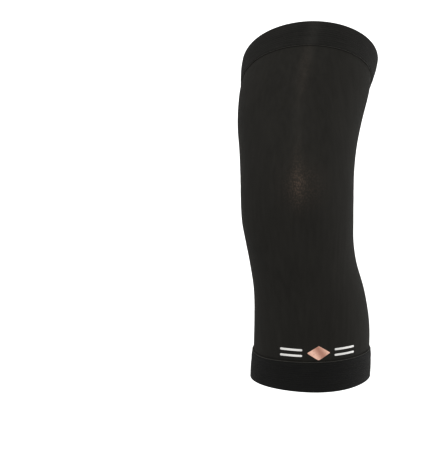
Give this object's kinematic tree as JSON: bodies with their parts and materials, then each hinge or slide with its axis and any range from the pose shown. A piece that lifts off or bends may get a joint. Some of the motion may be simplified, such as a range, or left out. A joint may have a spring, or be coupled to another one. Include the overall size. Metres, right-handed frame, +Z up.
{
  "type": "knee sleeve",
  "caption": "Pull-on knee sleeve of dark knit in its worn shape, with a doubled band at each end and a small plain print on the shin.",
  "frame": {"origin": "middle of the knee inside the sleeve, at the height of the kneecap", "axes": "+Z up the leg towards the thigh, -Y to the front of the leg, +X to the leg's outer side"},
  "size_m": [0.1459, 0.1881, 0.3662],
  "materials": {
    "tube_knit": "fine ribbed knit, matte",
    "band_knit": "doubled plain knit, matte",
    "copper_film": "satin copper-coloured print film",
    "white_film": "satin white print film"
  },
  "bodies": {
    "root": {"knit_tube": "tube_knit", "upper_band": "band_knit", "lower_band": "band_knit", "print_lozenge": "copper_film", "print_bar_inner_upper": "white_film", "print_bar_inner_lower": "white_film", "print_bar_outer_upper": "white_film", "print_bar_outer_lower": "white_film"}
  },
  "joints": []
}
